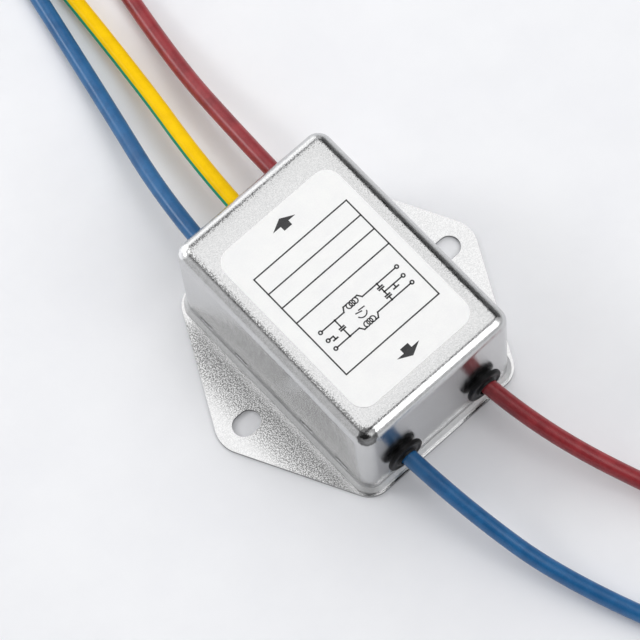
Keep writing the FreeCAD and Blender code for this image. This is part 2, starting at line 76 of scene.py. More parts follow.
# %% Place the camera
HEADING = math.radians(-35.11)
HEIGHT = math.radians(69.90)
ROLL = math.radians(-7.57)
DISTANCE = 0.9247
AIM = Vector((-0.00157, 0.00638, 0))
LENS = 260.1
SENSOR = 36.0
NEAREST = 0.05

share_across = math.cos(HEIGHT)
back = Vector((math.sin(HEADING) * share_across, -math.cos(HEADING) * share_across, math.sin(HEIGHT)))
level = Vector((math.cos(HEADING), math.sin(HEADING), 0))
above = back.cross(level)
side = math.cos(ROLL) * level + math.sin(ROLL) * above
upward = -math.sin(ROLL) * level + math.cos(ROLL) * above

camera_data = bpy.data.cameras.new("camera")
camera_data.lens = LENS
camera_data.sensor_width = SENSOR
camera_data.clip_start = NEAREST
camera = bpy.data.objects.new("camera", camera_data)
turn = Matrix((side, upward, back)).transposed().to_4x4()
camera.matrix_world = Matrix.Translation(AIM + back * DISTANCE) @ turn
scene.collection.objects.link(camera)
scene.camera = camera
print("camera at", [round(value, 3) for value in camera.matrix_world.translation])

# %% [markdown]
# Each lead is a length of flexible wire. It leaves its bushing straight, sinks to
# the bench under its own weight and runs along it in a slack curve. A cloth or rope
# simulation could drop it there, but would end a little differently each time. One
# smooth spline of third order through the lay of the wire gives such a line at
# once: its control points pull the curve without corners. The same points make the
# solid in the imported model, so the curve lies where the solid is.

# %% Lay the leads
LEAD_DIAMETER = 0.0035
LEVEL = 0.011
FLOOR = LEAD_DIAMETER / 2
PITCH = 0.0105
INSIDE = 0.00875
ENTRY = half_length - INSIDE
SINKS = 0.0384
LANDS = 0.074
SPLINE_ORDER = 3
LAY_STEPS = 24
LEAD_POINTS = {
    "line_neutral": [(-PITCH, ENTRY, LEVEL), (-PITCH, SINKS, LEVEL),
                     (-0.0016, LANDS, FLOOR), (0.0052, 0.108, FLOOR)],
    "earth": [(0.0, ENTRY, LEVEL), (0.0, SINKS, LEVEL),
              (0.0067, LANDS, FLOOR), (0.0096, 0.109, FLOOR)],
    "line_live": [(PITCH, ENTRY, LEVEL), (PITCH, SINKS, LEVEL),
                  (0.0142, LANDS, FLOOR), (0.0216, 0.109, FLOOR)],
    "load_neutral": [(-PITCH, -ENTRY, LEVEL), (-PITCH, -SINKS, LEVEL),
                     (-0.0022, -LANDS, FLOOR), (0.014, -0.107, FLOOR)],
    "load_live": [(PITCH, -ENTRY, LEVEL), (PITCH, -SINKS, LEVEL),
                  (0.0254, -LANDS, FLOOR), (0.0395, -0.107, FLOOR)],
}


def lay_route(name, points):
    """The points along a smooth spline that is pulled by the route's points."""
    curve = bpy.data.curves.new(name, "CURVE")
    curve.dimensions = "3D"
    curve.resolution_u = LAY_STEPS
    spline = curve.splines.new("NURBS")
    spline.points.add(len(points) - 1)
    for control, place in zip(spline.points, points):
        control.co = (*place, 1.0)
    spline.order_u = SPLINE_ORDER
    spline.use_endpoint_u = True
    holder = bpy.data.objects.new(name, curve)
    scene.collection.objects.link(holder)
    graph = bpy.context.evaluated_depsgraph_get()
    line = bpy.data.meshes.new_from_object(holder.evaluated_get(graph))
    places = [vertex.co.copy() for vertex in line.vertices]
    bpy.data.objects.remove(holder)
    bpy.data.curves.remove(curve)
    bpy.data.meshes.remove(line)
    return places


def length_of(places):
    """The length along a line of points."""
    return sum((after - before).length for before, after in zip(places, places[1:]))


routes = {name: lay_route(name, points) for name, points in LEAD_POINTS.items()}
for name, places in routes.items():
    print(name, "is", round(length_of(places) / MM, 1), "mm long,", len(places), "points")

# %% [markdown]
# Two kinds of node tree follow: Geometry Nodes for shapes and shader nodes for
# finishes. They could be wired by hand in Blender's editor. Written down, they need
# one small builder that adds a node, sets it up and then links or sets its inputs
# by their titles. A value that knows its tree lets plain arithmetic add Math nodes,
# so that a mask reads like a formula.

# %% A builder for node trees
def set_inputs(tree, made, sockets):
    """Link or set a node's inputs. A key is an input's title, or its number."""
    for title, value in sockets.items():
        target = made.inputs[title]
        if isinstance(value, Socket):
            value = value.socket
        if isinstance(value, bpy.types.NodeSocket):
            tree.links.new(value, target)
        else:
            target.default_value = value


def add_node(tree, kind, settings=None, sockets=None, output=0):
    """Add a node: its settings first, then the values or links of its inputs."""
    made = tree.nodes.new(kind)
    for title, value in (settings or {}).items():
        setattr(made, title, value)
    set_inputs(tree, made, sockets or {})
    return Socket(tree, made.outputs[output])


class Socket:
    """A value in a node tree, on which plain arithmetic adds Math nodes."""

    def __init__(self, tree, socket):
        self.tree = tree
        self.socket = socket

    def node(self, kind, settings=None, sockets=None, output=0):
        return add_node(self.tree, kind, settings, sockets, output)

    def math(self, operation, *values, clamp=False):
        return self.node("ShaderNodeMath", {"operation": operation, "use_clamp": clamp},
                         dict(enumerate((self, *values))))

    def __add__(self, other):
        return self.math("ADD", other)

    def __sub__(self, other):
        return self.math("SUBTRACT", other)

    def __mul__(self, other):
        return self.math("MULTIPLY", other)

    def __truediv__(self, other):
        return self.math("DIVIDE", other)

    def __neg__(self):
        return self * -1.0

    def __rsub__(self, other):
        return -self + other

    __radd__ = __add__
    __rmul__ = __mul__

    def size(self):
        """The value without its sign."""
        return self.math("ABSOLUTE")

    def clamped(self):
        """The value kept between 0 and 1."""
        return self.math("ADD", 0.0, clamp=True)

    def over(self, low, high):
        """A soft step: 0 below low, 1 above high."""
        return self.node("ShaderNodeMapRange", {"interpolation_type": "SMOOTHSTEP"},
                         {"Value": self, "From Min": low, "From Max": high})

    def under(self, low, high):
        """A soft step down: 1 below low, 0 above high."""
        return 1.0 - self.over(low, high)


print("builder ready")

# %% [markdown]
# A tree that makes a shape always starts and ends in the same way: it has titled
# inputs, and it ends in real, smooth geometry that carries a material. The modifier
# could stay on the object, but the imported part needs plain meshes. So each tree is
# run once, its result is kept as a mesh, and the modifier is taken off again.

# %% Start, end and run a shape tree
def new_geometry_tree(name, inputs):
    """A geometry tree with titled inputs: the tree and a dict of its input values."""
    tree = bpy.data.node_groups.new(name, "GeometryNodeTree")
    tree.interface.new_socket("Geometry", in_out="INPUT", socket_type="NodeSocketGeometry")
    for title, kind in inputs.items():
        tree.interface.new_socket(title, in_out="INPUT", socket_type="NodeSocket" + kind)
    tree.interface.new_socket("Geometry", in_out="OUTPUT", socket_type="NodeSocketGeometry")
    given = tree.nodes.new("NodeGroupInput").outputs
    return tree, {socket.name: Socket(tree, socket) for socket in given if socket.name}


def finish_geometry_tree(tree, geometry, material):
    """End a tree in real, smooth geometry with its material."""
    real = add_node(tree, "GeometryNodeRealizeInstances", None, {"Geometry": geometry})
    smooth = add_node(tree, "GeometryNodeSetShadeSmooth", None, {"Geometry": real})
    painted = add_node(tree, "GeometryNodeSetMaterial", None,
                       {"Geometry": smooth, "Material": material})
    set_inputs(tree, tree.nodes.new("NodeGroupOutput"), {"Geometry": painted})
    return tree


def grow(name, mesh, tree, values):
    """Run a tree on a mesh with its titled inputs and keep the result as a plain mesh."""
    piece = bpy.data.objects.new(name, mesh)
    scene.collection.objects.link(piece)
    modifier = piece.modifiers.new("grow", "NODES")
    modifier.node_group = tree
    for item in tree.interface.items_tree:
        if item.in_out == "INPUT" and item.name in values:
            modifier[item.identifier] = values[item.name]
    graph = bpy.context.evaluated_depsgraph_get()
    grown = bpy.data.meshes.new_from_object(piece.evaluated_get(graph))
    piece.modifiers.remove(modifier)
    piece.data = grown
    return piece


print("shape tree helpers ready")

# %% [markdown]
# The insulation of a lead is a round skin along its line. A curve's own bevel gives
# such a tube too, but it can't mark where the green stripe of the earth lead lies.
# This tree sweeps a ring of points and stores on each of them how far round it is:
# 0 at the ring's first point, 1 on the far side. The value rises and falls again,
# so it meets itself at the seam without a jump.

# %% Build the wire tree
def make_sweep_tree():
    """A round wire along a line of points."""
    tree, given = new_geometry_tree("sweep", {"Radius": "Float", "Sides": "Int", "Material": "Material"})
    line = add_node(tree, "GeometryNodeMeshToCurve", None, {"Mesh": given["Geometry"]})
    line = add_node(tree, "GeometryNodeSetCurveNormal", {"mode": "Z_UP"}, {"Curve": line})
    ring = add_node(tree, "GeometryNodeCurvePrimitiveCircle", None,
                    {"Resolution": given["Sides"], "Radius": given["Radius"]})
    number = add_node(tree, "GeometryNodeInputIndex")
    across = 1.0 - (number / given["Sides"] * 2.0 - 1.0).size()
    ring = add_node(tree, "GeometryNodeStoreNamedAttribute", {"data_type": "FLOAT", "domain": "POINT"},
                    {"Geometry": ring, "Name": "around", "Value": across})
    tube = add_node(tree, "GeometryNodeCurveToMesh", None,
                    {"Curve": line, "Profile Curve": ring, "Fill Caps": True})
    return finish_geometry_tree(tree, tube, given["Material"])


sweep_tree = make_sweep_tree()
print("wire tree", len(sweep_tree.nodes), "nodes")

# %% [markdown]
# A stripped end shows bare strands that turn together. Each strand could be drawn
# as a helix of its own. It is simpler to make one straight line, copy it for every
# strand and move all copies at once: out from the middle, by an angle that depends
# on the number of the strand and grows along it.

# %% Build the strand tree
def make_strand_tree():
    """Strands laid side by side and twisted round a straight line along X."""
    tree, given = new_geometry_tree("strands", {
        "Length": "Float", "Strand Radius": "Float", "Ring Radius": "Float", "Strands": "Int",
        "Steps": "Int", "Turns": "Float", "Sides": "Int", "Material": "Material"})
    line = add_node(tree, "GeometryNodeCurvePrimitiveLine", None, {"Start": (0, 0, 0), "End": (1, 0, 0)})
    line = add_node(tree, "GeometryNodeResampleCurve", None, {"Curve": line, "Count": given["Steps"]})
    copies = add_node(tree, "GeometryNodeDuplicateElements", {"domain": "SPLINE"},
                      {"Geometry": line, "Amount": given["Strands"]})
    which = Socket(tree, copies.socket.node.outputs["Duplicate Index"])
    along = add_node(tree, "GeometryNodeSplineParameter")
    angle = (which / given["Strands"] + along * given["Turns"]) * (2 * math.pi)
    place = add_node(tree, "ShaderNodeCombineXYZ", None, {
        "X": along * given["Length"],
        "Y": angle.math("COSINE") * given["Ring Radius"],
        "Z": angle.math("SINE") * given["Ring Radius"]})
    laid = add_node(tree, "GeometryNodeSetPosition", None, {"Geometry": copies, "Position": place})
    ring = add_node(tree, "GeometryNodeCurvePrimitiveCircle", None,
                    {"Resolution": given["Sides"], "Radius": given["Strand Radius"]})
    wires = add_node(tree, "GeometryNodeCurveToMesh", None,
                     {"Curve": laid, "Profile Curve": ring, "Fill Caps": True})
    return finish_geometry_tree(tree, wires, given["Material"])


strand_tree = make_strand_tree()
print("strand tree", len(strand_tree.nodes), "nodes")

# %% [markdown]
# A finish starts from one Principled shader. Its plain numbers are set on the
# shader's own sockets, and only what changes over the surface is linked: colour,
# roughness and a bump. Patterns could follow an unwrapped mesh, but these read
# Object coordinates, so they need no unwrapping and stay on the piece at their real
# size. The noise helper takes the size of a speck in metres.

# %% Helpers for finishes
FIRST_COLOUR, SECOND_COLOUR, MIXED_COLOUR = 6, 7, 2


def spaced(sockets):
    """Keyword names as the titles of inputs."""
    return {title.replace("_", " "): value for title, value in sockets.items()}


class Finish:
    """One material with a Principled shader and a few pattern helpers."""

    def __init__(self, name, **sockets):
        self.material = bpy.data.materials.new(name)
        self.material.use_nodes = True
        self.tree = self.material.node_tree
        self.shader = self.tree.nodes["Principled BSDF"]
        set_inputs(self.tree, self.shader, spaced(sockets))
        self.place = self.node("ShaderNodeTexCoord", output="Object")

    def node(self, kind, settings=None, sockets=None, output=0):
        return add_node(self.tree, kind, settings, sockets, output)

    def stretched(self, scale):
        """The place with each axis scaled, for drawn or rolled patterns."""
        return self.node("ShaderNodeMapping", None, {"Vector": self.place, "Scale": scale})

    def axis(self, letter):
        """One coordinate of the place: X, Y or Z."""
        return self.node("ShaderNodeSeparateXYZ", None, {"Vector": self.place}, output=letter)

    def distance_to(self, point):
        """How far the place is from a point, in metres."""
        return self.node("ShaderNodeVectorMath", {"operation": "DISTANCE"},
                         {0: self.place, 1: point}, output="Value")

    def noise(self, size, detail=2.0, rough=0.5, place=None):
        """Soft noise from 0 to 1 whose specks are about that size in metres."""
        return self.node("ShaderNodeTexNoise", None, {
            "Vector": place or self.place, "Scale": 1.0 / size, "Detail": detail, "Roughness": rough})

    def fray(self, size, reach):
        """An uneven shift, half its reach either way, that roughens the edge of a mask."""
        return (self.noise(size, 2.0, 0.6) - 0.5) * reach

    def mix(self, share, low, high):
        """One colour turning into another."""
        return self.node("ShaderNodeMix", {"data_type": "RGBA"},
                         {0: share, FIRST_COLOUR: low, SECOND_COLOUR: high}, output=MIXED_COLOUR)

    def bump(self, height, depth, strength=1.0):
        """A bump that rises by depth metres where the height is 1."""
        return self.node("ShaderNodeBump", None,
                         {"Height": height, "Distance": depth, "Strength": strength})

    def use(self, **sockets):
        """Link what varies over the surface to the shader."""
        set_inputs(self.tree, self.shader, spaced(sockets))
        return self.material


def grey(value, warmth=0.0):
    """A nearly neutral colour, a little warmer or cooler."""
    return (value * (1 + warmth), value, value * (1 - warmth), 1.0)


print("finish helpers ready")

# %% [markdown]
# The can and the plate are tinned steel sheet: a bright metal whose rolled skin has
# fine grain, so reflections are soft and broken into specks. A picture of tin could
# be laid on it, but it would blur from close up. Noise stays sharp: one of about a
# quarter of a millimetre makes the grain, a slow one the change of gloss that
# handling leaves, and one stretched upwards the streaks of drawing. Wear, painted
# shade and a painted highlight are each a mask of their own, which the next cells
# build.

# %% Tinned sheet
GRAIN_SHADE = 0.84
# Dark tin for wear and painted shade.
SHADE_AND_WEAR_TIN = grey(0.06)
# Near white tin for a painted highlight.
HIGHLIGHT_TIN = grey(0.95)


def make_steel(name, tint, grain, depth, gloss, drawn=0.0,
               shade_and_wear=None, painted_highlight=None, sunk=None, dulled=None):
    """Tinned sheet with a tint, grain size and depth in metres, and mean roughness.

    Streaks shift the roughness by drawn. The others are masks: darkened by wear and
    painted shade, lit by a painted highlight, sunk by millimetres and dulled by added
    roughness.
    """
    finish = Finish(name, Metallic=1.0)
    fine = finish.noise(grain, 1.0, 0.5)
    broad = finish.noise(0.006, 3.0, 0.55)
    streaks = finish.noise(0.0008, 3.0, 0.6, finish.stretched((1.0, 1.0, 0.06)))
    shade = (fine * 0.6 + broad * 0.2 + streaks * 0.2).over(0.34, 0.66)
    colour = finish.mix(shade, grey(tint * GRAIN_SHADE, -0.004), grey(tint * 1.02))
    roughness = (broad - 0.5) * 0.12 + (fine - 0.5) * 0.10 + (streaks - 0.5) * drawn + gloss
    height = fine * (depth / MM)
    # Wear and painted shade: the masked places turn towards dark tin.
    if shade_and_wear:
        colour = finish.mix(shade_and_wear(finish), colour, SHADE_AND_WEAR_TIN)
    # Painted highlight: the masked places turn towards near white tin.
    if painted_highlight:
        colour = finish.mix(painted_highlight(finish), colour, HIGHLIGHT_TIN)
    if sunk:
        height = height - sunk(finish)
    if dulled:
        roughness = roughness + dulled(finish)
    return finish.use(Base_Color=colour, Roughness=roughness.clamped(), Normal=finish.bump(height, MM))


print("recipe for tinned sheet ready")

# %% [markdown]
# Drawing and handling leave their marks on the can, and some light and shade is
# painted in with them. Dark specks follow the border of the top and thin out
# towards its middle; how heavy they are on each rim is partly wear and partly
# painted shade. The front left corner carries a painted dark reflection, the rear
# left one a painted highlight. Painted shadow darkens the pressed grooves, the top
# falls a little towards its rim, and the foot, where the sheet was held, is dull.
# Such marks could be painted by hand, but masks worked out from the place on the
# can follow it when its size changes.

# %% Wear and painted light on the can
CAN_EDGE = 0.0026
GROOVE_LEVEL = 0.0044
GROOVE_PLACES = (0.0096, 0.0200)
SPECK = 0.00022
SPECKS_FROM = can_high.z - 0.0022
SPECKS_FULL = can_high.z - 0.0012
# The middle of the painted dark reflection on the front left corner of the top.
DARK_REFLECTION_CORNER = (0.0023 - half_width, 0.0015 - half_length, can_high.z - 0.0010)
# The middle of the painted highlight on the rear left corner of the top.
HIGHLIGHT_CORNER = (0.0016 - half_width, half_length - 0.0018, can_high.z - 0.0005)
RIM_FALL = 0.15
FOOT_DULLNESS = 0.22


def around_rim(finish):
    """How far a point is past the flat top, 0 at its border and 1 at the wall, and its wear and painted
    shade.

    The long rims get the most on the left, the short ones at the rear: partly wear, partly painted shade
    laid heaviest where the rims look darkest in this light.
    """
    from_sides = (finish.axis("X").size() - (half_width - CAN_EDGE)) / CAN_EDGE
    from_ends = (finish.axis("Y").size() - (half_length - CAN_EDGE)) / CAN_EDGE
    at_end = (from_ends - from_sides).over(-0.1, 0.3)
    rear = finish.axis("Y").over(-0.001, 0.001)
    left = finish.axis("X").under(-0.010, 0.004)
    rim_wear_and_shade = at_end * (rear * 0.5 + left * 0.3 + 0.1) + (1.0 - at_end) * (left * 0.5 + 0.5)
    return from_sides.math("MAXIMUM", from_ends), rim_wear_and_shade


def painted_groove_shadow(finish):
    """Painted shadow in the four short grooves pressed into each side, just over the foot."""
    along = finish.axis("Y").size()
    inner, outer = [(along - place).size() for place in GROOVE_PLACES]
    fray = finish.fray(0.0004, 0.0010)
    in_length = (inner.math("MINIMUM", outer) + fray).under(0.0015, 0.0020)
    in_height = ((finish.axis("Z") - GROOVE_LEVEL).size() + fray).under(0.0008, 0.0012)
    return in_length * in_height


def dark_specks_and_shade(finish):
    """Dark specks along the border of the top, partly wear and partly painted shade, a painted dark
    reflection on the front left corner and painted shadow in the grooves.
    """
    past, rim_wear_and_shade = around_rim(finish)
    # How heavy the specks are along each rim: partly wear, partly painted shade.
    rim_specks_and_shade = (past.over(-1.2, 0.0) * 0.08 + past.over(-0.22, 0.12) * 0.20) * rim_wear_and_shade
    specks = (finish.noise(SPECK, 1.0, 0.5) + rim_specks_and_shade).over(0.66, 0.80)
    fading = (0.25 + past.over(-0.5, 0.05) * 0.75) * past.under(0.18, 0.45)
    border = specks * fading * finish.axis("Z").over(SPECKS_FROM, SPECKS_FULL)
    # A painted dark reflection on the front left corner of the top.
    ragged = finish.fray(0.0007, 0.0012) + finish.distance_to(DARK_REFLECTION_CORNER)
    corner = ragged.under(0.0018, 0.0022) * (0.7 + ragged.over(0.0008, 0.0018) * 0.3)
    edge = (border * 0.7).math("MAXIMUM", corner * 0.88)
    return edge.math("MAXIMUM", painted_groove_shadow(finish))


def painted_corner_highlight(finish):
    """A painted highlight on the rear left corner of the top."""
    return (finish.fray(0.0006, 0.0008) + finish.distance_to(HIGHLIGHT_CORNER)).under(0.0013, 0.0017)


def sunk_border(finish):
    """The slight fall of the top towards its rim, in millimetres, that drawing leaves."""
    past = around_rim(finish)[0]
    return past.over(-1.6, 0.3).math("POWER", 2.0) * RIM_FALL


def dull_foot(finish):
    """Added roughness at the turned out foot."""
    return finish.axis("Z").under(0.0020, 0.0034) * FOOT_DULLNESS


can_steel = make_steel("can_steel", tint=0.64, grain=0.00026, depth=0.000018, gloss=0.19, drawn=0.2,
                       shade_and_wear=dark_specks_and_shade, painted_highlight=painted_corner_highlight, sunk=sunk_border, dulled=dull_foot)
print("finish of the can made")

# %% [markdown]
# The plate is sheared from thicker sheet of the same tin. Its cut edge is darker
# all round, as bare steel and as painted shade, and a speckled band of painted
# shade crosses the left ear next to the can. The edge could have a material slot
# of its own, with its faces picked by hand. One mask that reads the height picks
# it here, and another that reads the distance from the can's wall places the band.

# %% Wear and painted shade on the plate
SHEET = 0.0008


def plate_shade_and_cut_edge(finish):
    """Painted shade as a speckled band across the left ear next to the can, and the sheared edge all
    round, darker as bare steel and as painted shade.
    """
    # The cut edge: darker as bare steel, and as painted shade where it meets the paper.
    sheared = finish.axis("Z").under(SHEET - 0.00014, SHEET - 0.00004)
    out = -finish.axis("X") - half_width
    # Painted shade: a speckled dark band on the left ear next to the can's wall.
    shade_band = out.over(0.0010, 0.0026) * out.under(0.0056, 0.0114)
    painted_ear_shade = shade_band * (finish.noise(0.00026, 1.0, 0.5).over(0.44, 0.59) * 0.70 + 0.02)
    return painted_ear_shade.math("MAXIMUM", sheared * 0.6)


plate_steel = make_steel("plate_steel", tint=0.72, grain=0.00024, depth=0.000024, gloss=0.17,
                         shade_and_wear=plate_shade_and_cut_edge)
print("finish of the plate made")

# %% [markdown]
# The leads have soft vinyl insulation. It is a little glossy, and its colour is
# even but slightly clouded. The earth lead is yellow with a green stripe down one
# side. The stripe could be a second piece laid on the first, but the real one is
# pressed into the same skin, so the finish colours it where the value that the wire
# tree stored is high.

# %% Insulation finishes
def make_vinyl(name, deep, bright, shine=0.55, stripe=None, stripe_width=0.0):
    """Soft insulation: a clouded colour, and a stripe whose width is a share of the way round."""
    finish = Finish(name, Specular_IOR_Level=shine)
    cloud = finish.noise(0.004, 3.0, 0.6)
    specks = finish.noise(0.0003, 2.0, 0.5)
    colour = finish.mix((cloud * 0.7 + specks * 0.3).over(0.35, 0.65), deep, bright)
    if stripe:
        around = finish.node("ShaderNodeAttribute", {"attribute_name": "around"}, output="Fac")
        edge = around + (cloud - 0.5) * 0.03
        colour = finish.mix(edge.over(0.98 - stripe_width, 1.02 - stripe_width), colour, stripe)
    roughness = (cloud - 0.5) * 0.12 + (specks - 0.5) * 0.10 + 0.33
    return finish.use(Base_Color=colour, Roughness=roughness.clamped(),
                      Normal=finish.bump(cloud * 0.6 + specks * 0.4, 0.000012, 0.6))


VINYL = {
    "lead_blue": make_vinyl("lead_blue", (0.007, 0.086, 0.235, 1), (0.013, 0.122, 0.31, 1)),
    "lead_red": make_vinyl("lead_red", (0.205, 0.014, 0.020, 1), (0.31, 0.026, 0.033, 1)),
    "lead_earth": make_vinyl("lead_earth", (0.86, 0.52, 0.0, 1), (0.93, 0.58, 0.0, 1), shine=0.08,
                             stripe=(0.0, 0.30, 0.16, 1), stripe_width=0.20),
}
LEAD_SLOT = {"line_neutral": "lead_blue", "earth": "lead_earth", "line_live": "lead_red",
             "load_neutral": "lead_blue", "load_live": "lead_red"}
print(len(VINYL), "insulation finishes made")

# %% [markdown]
# The other finishes could each be drawn up alone, but they share one recipe: two
# tones of a colour mixed by noise, a mean roughness that the same noise shifts, and
# a shallow bump. A row holds the deep tone, the bright tone, the size of a speck,
# the roughness and the depth of the bump. What follows after them, such as Metallic,
# is set on the shader itself.

# %% Plain finishes
def make_plain(name, deep, bright, speck, gloss, depth, **sockets):
    """Two tones mixed by noise of a speck's size, with a mean roughness and a bump depth."""
    finish = Finish(name, **sockets)
    cloud = finish.noise(speck * 12, 3.0, 0.55)
    specks = finish.noise(speck, 3.0, 0.6)
    share = cloud * 0.5 + specks * 0.5
    colour = finish.mix(share.over(0.35, 0.65), (*deep, 1.0), (*bright, 1.0))
    roughness = (share - 0.5) * 0.2 + gloss
    return finish.use(Base_Color=colour, Roughness=roughness.clamped(),
                      Normal=finish.bump(specks + cloud * 0.4, depth))


METAL = {"Metallic": 1.0}
PLAIN_ROWS = {
    "label_film": ((0.86, 0.86, 0.86), (0.90, 0.90, 0.89), 0.0003, 0.42, 0.000003, {}),
    "label_ink": ((0.018, 0.018, 0.02), (0.045, 0.045, 0.048), 0.0002, 0.5, 0.000002, {}),
    "bushing_plastic": ((0.003, 0.003, 0.0035), (0.008, 0.008, 0.009), 0.0003, 0.42, 0.00002,
                        {"Specular_IOR_Level": 0.18}),
    "tinned_strands": ((0.55, 0.52, 0.46), (0.80, 0.78, 0.74), 0.0004, 0.30, 0.00001, METAL),
    "tinned_brass": ((0.60, 0.58, 0.52), (0.74, 0.72, 0.67), 0.0003, 0.34, 0.00001, METAL),
    "board_laminate": ((0.010, 0.075, 0.022), (0.018, 0.11, 0.035), 0.0004, 0.36, 0.00001,
                       {"Coat_Weight": 0.2}),
    "potting_resin": ((0.010, 0.010, 0.011), (0.018, 0.018, 0.020), 0.0006, 0.28, 0.00002, {}),
    "ferrite": ((0.012, 0.012, 0.013), (0.028, 0.028, 0.030), 0.0002, 0.55, 0.00002, {}),
    "enamelled_copper": ((0.48, 0.14, 0.05), (0.72, 0.28, 0.12), 0.0004, 0.22, 0.000005, METAL),
    "divider_plastic": ((0.66, 0.64, 0.58), (0.74, 0.72, 0.66), 0.0004, 0.45, 0.00001, {}),
    "x_capacitor_case": ((0.66, 0.36, 0.010), (0.78, 0.46, 0.016), 0.0005, 0.34, 0.00001, {}),
    "y_capacitor_case": ((0.015, 0.07, 0.30), (0.022, 0.10, 0.38), 0.0005, 0.34, 0.00001, {}),
    "resistor_body": ((0.006, 0.006, 0.006), (0.016, 0.016, 0.016), 0.0002, 0.30, 0.000006, {}),
    "liner_film": ((0.66, 0.62, 0.46), (0.74, 0.70, 0.54), 0.0006, 0.40, 0.000006, {}),
}
finishes = {"can_steel": can_steel, "plate_steel": plate_steel}
for name, (*row, sockets) in PLAIN_ROWS.items():
    finishes[name] = make_plain(name, *row, **sockets)
print(len(finishes), "finishes besides the insulation")

# %% [markdown]
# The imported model's meshes are loose triangles. Shading them smooth as they are
# would leave each triangle flat, and rounding them again with a bevel would move
# the edges. So the can and the plate are copied, their doubled points merged, and
# their normals weighted by area: flat sheet stays flat right up to its rounded
# edges. Every other node keeps its mesh and takes the finish that the record names.

# %% Dress the pressed sheet and the other nodes
WELD = 1e-6
SHEET_CREASE = math.radians(35)
FLAT_FACES_FIRST = 80


def smooth_copy(name, node_name, finish_name):
    """A welded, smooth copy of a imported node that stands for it."""
    piece = bpy.data.objects.new(name, nodes[node_name].data.copy())
    scene.collection.objects.link(piece)
    stored = piece.data.attributes.get("custom_normal")
    if stored:
        piece.data.attributes.remove(stored)
    mesh = bmesh.new()
    mesh.from_mesh(piece.data)
    bmesh.ops.remove_doubles(mesh, verts=mesh.verts, dist=WELD)
    mesh.to_mesh(piece.data)
    mesh.free()
    piece.data.shade_smooth()
    piece.data.set_sharp_from_angle(angle=SHEET_CREASE)
    weighted = piece.modifiers.new("weigh", "WEIGHTED_NORMAL")
    weighted.keep_sharp = True
    weighted.weight = FLAT_FACES_FIRST
    piece.data.materials.clear()
    piece.data.materials.append(finishes[finish_name])
    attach(piece, "root")
    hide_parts(node_name)
    return piece


can_skin = smooth_copy("can_skin", "can_shell", "can_steel")
plate_skin = smooth_copy("plate_skin", "base_plate", "plate_steel")
for entry in frame["record"]["subparts"]:
    if entry["material_slot"] in finishes:
        slots = nodes[entry["node"]].data.materials
        slots.clear()
        slots.append(finishes[entry["material_slot"]])
print("can", len(can_skin.data.polygons), "faces, plate", len(plate_skin.data.polygons), "faces")

# %% [markdown]
# Each lead is a stranded wire, and its end is stripped for a terminal. Nineteen
# tinned strands lie in two rings round a middle one and turn together through part
# of a turn, as in bought wire. One twisted rod with a bump would look right only
# from afar, so every strand is real. The strand tree makes one ring of them at a
# time along X, and the bundle is then aimed along the end of its lead.

# %% Twist the stripped ends
STRIPPED = 0.008
STRAND = 0.00038
RINGS = [(1, 0.0), (6, STRAND), (12, 2 * STRAND)]
TWIST = {"Length": STRIPPED, "Strand Radius": STRAND / 2, "Steps": 24, "Turns": 0.6, "Sides": 8,
         "Material": finishes["tinned_strands"]}


def join_meshes(name, pieces):
    """One object from several, with the others removed."""
    joined = bmesh.new()
    for piece in pieces:
        joined.from_mesh(piece.data)
    result = pieces[0]
    joined.to_mesh(result.data)
    joined.free()
    for piece in pieces[1:]:
        bpy.data.objects.remove(piece)
    result.name = name
    return result


def twist_strands(name, start, direction):
    """Tinned strands laid close and twisted, from a point onwards."""
    layers = [grow(name, bpy.data.meshes.new(name), strand_tree,
                   {**TWIST, "Ring Radius": ring, "Strands": count})
              for count, ring in RINGS]
    bundle = join_meshes(name + "_strands", layers)
    aim = direction.to_track_quat("X", "Z").to_matrix().to_4x4()
    bundle.data.transform(Matrix.Translation(start) @ aim)
    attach(bundle, "root")
    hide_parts(name + "_stripped_end")
    return bundle


print("strands to an end:", sum(count for count, ring in RINGS))

# %% [markdown]
# The insulation is the wire tree run along the route of each lead. The solid in the
# imported model has the same lay, but it is rigid.

# %% Sweep the leads
LEAD_SIDES = 32


def line_mesh(name, places):
    """A mesh of one open chain of edges."""
    mesh = bpy.data.meshes.new(name)
    mesh.from_pydata(places, [(step, step + 1) for step in range(len(places) - 1)], [])
    return mesh


for name, places in routes.items():
    lead = grow(name + "_insulation", line_mesh(name, places), sweep_tree, {
        "Radius": LEAD_DIAMETER / 2, "Sides": LEAD_SIDES, "Material": VINYL[LEAD_SLOT[name]]})
    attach(lead, "root")
    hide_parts(name + "_lead")
    strands = twist_strands(name, places[-1], (places[-1] - places[-2]).normalized())
    length_of(places)
    print(lead.name, len(lead.data.polygons), "faces, strands", len(strands.data.polygons), "faces")

# %% [markdown]
# Each bushing is a turned nylon piece that snaps into its hole: a flange with a
# rolled rim that stands a little off the wall, a collar round the lead, a neck in
# the hole and a lip behind it. It could be put together from rings and tubes. One
# outline spun round the lead has no seams between them and needs one list only.
# Radii and heights are in millimetres, and heights count outwards from the wall.

# %% Turn the bushings
BORE = [(1.78, -1.7), (1.78, 1.85)]
COLLAR = [(1.9, 1.98), (2.2, 2.0), (2.34, 1.86), (2.4, 1.6), (2.62, 1.52)]
FLANGE = [(3.3, 1.52), (3.42, 1.62), (3.9, 1.62), (4.1, 1.5), (4.18, 1.2), (4.16, 0.85), (3.98, 0.62),
          (3.3, 0.5), (3.1, 0.4), (3.1, 0.0)]
NECK = [(2.95, 0.0), (2.95, -0.5)]
LIP = [(3.45, -0.55), (3.4, -1.0), (3.1, -1.6), (2.9, -1.7)]
BUSHING_OUTLINE = BORE + COLLAR + FLANGE + NECK + LIP
BUSHING_STEPS = 64
BUSHING_CREASE = math.radians(40)


